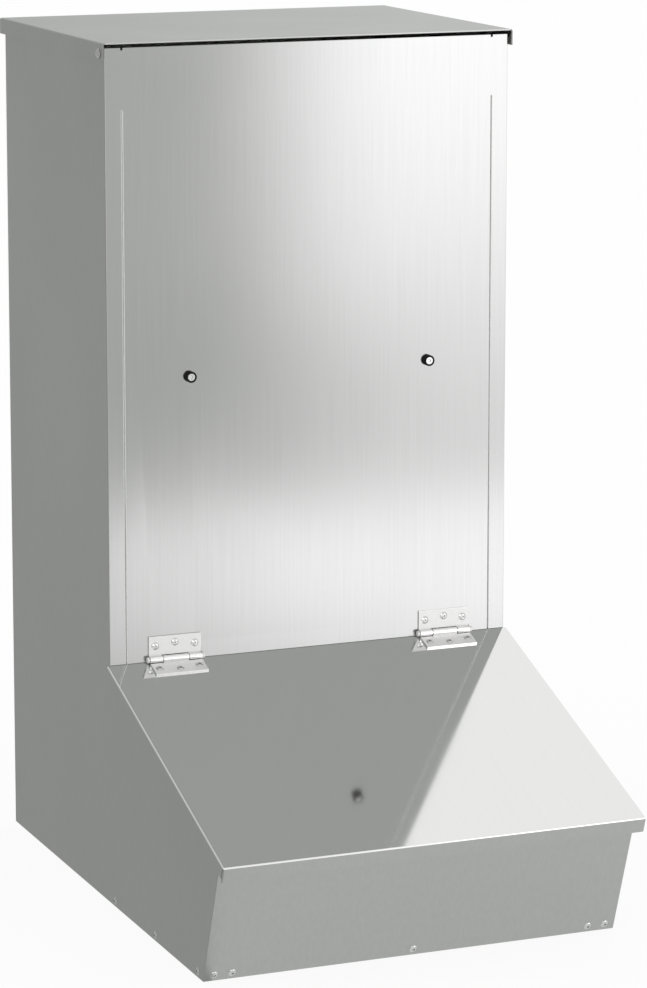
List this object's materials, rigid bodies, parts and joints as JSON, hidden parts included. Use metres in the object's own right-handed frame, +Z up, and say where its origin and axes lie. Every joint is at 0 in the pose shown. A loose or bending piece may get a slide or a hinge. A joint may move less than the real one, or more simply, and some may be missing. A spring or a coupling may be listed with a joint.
{
  "type": "pig feeder",
  "caption": "Tall folded-steel hopper over a trough, with a swing-up filling lid, a snout flap hinged to the front panel with rubber stops, and an adjustable feed gate.",
  "frame": {"origin": "on the floor, in the middle of the feeder's overall width and length", "axes": "+Z up, -Y towards the animal at the trough, +X to the right as seen from the trough"},
  "size_m": [0.4116, 0.602, 0.804],
  "materials": {
    "satin_sheet": "satin stainless sheet with a faint rolled grain",
    "brushed_sheet": "fine vertically brushed stainless sheet",
    "polished_sheet": "bright polished stainless sheet that mirrors what stands over it",
    "hinge_steel": "pale zinc-plated pressed steel",
    "bright_steel": "bright turned or pressed steel",
    "stop_rubber": "black moulded rubber"
  },
  "bodies": {
    "feeder": {"left_side_panel": "satin_sheet", "right_side_panel": "satin_sheet", "back_panel": "satin_sheet", "front_panel": "brushed_sheet", "hopper_chute": "satin_sheet", "trough_pan": "satin_sheet", "trough_front": "satin_sheet", "side_pan_rivets": "bright_steel", "front_pan_rivets": "bright_steel", "left_fixed_leaf": "hinge_steel", "right_fixed_leaf": "hinge_steel", "left_hinge_pin": "hinge_steel", "right_hinge_pin": "hinge_steel", "fixed_leaf_rivets": "bright_steel", "left_bump_stop": "stop_rubber", "right_bump_stop": "stop_rubber", "bump_stop_screws": "bright_steel", "bump_stop_washers": "bright_steel", "bump_stop_nuts": "bright_steel", "left_lid_pivot": "bright_steel", "right_lid_pivot": "bright_steel", "lid_spacers": "satin_sheet"},
    "flap": {"trough_flap": "polished_sheet", "left_moving_leaf": "hinge_steel", "right_moving_leaf": "hinge_steel", "moving_leaf_rivets": "bright_steel"},
    "lid": {"hopper_lid": "satin_sheet"},
    "gate": {"feed_gate": "satin_sheet", "gate_bolts": "bright_steel", "gate_washers": "bright_steel"},
    "left_nut": {"left_wing_nut": "bright_steel"},
    "right_nut": {"right_wing_nut": "bright_steel"}
  },
  "joints": [
    {"name": "flap_hinge", "type": "hinge", "parent": "feeder", "child": "flap", "pos_m": [0, -0.00346, 0.23076], "axis": [-1, 0, 0], "range_deg": [0, 110.2]},
    {"name": "lid_hinge", "type": "hinge", "parent": "feeder", "child": "lid", "pos_m": [0, 0.00664, 0.794], "axis": [1, 0, 0], "range_deg": [0, 98]},
    {"name": "gate_slide", "type": "slide", "parent": "feeder", "child": "gate", "axis": [0, 0, 1], "range_m": [-0.03, 0.03]},
    {"name": "left_nut_spin", "type": "hinge", "parent": "gate", "child": "left_nut", "pos_m": [-0.112, -0.005, 0.1703], "axis": [0, -1, 0], "continuous": true},
    {"name": "right_nut_spin", "type": "hinge", "parent": "gate", "child": "right_nut", "pos_m": [0.112, -0.005, 0.1703], "axis": [0, -1, 0], "continuous": true}
  ]
}
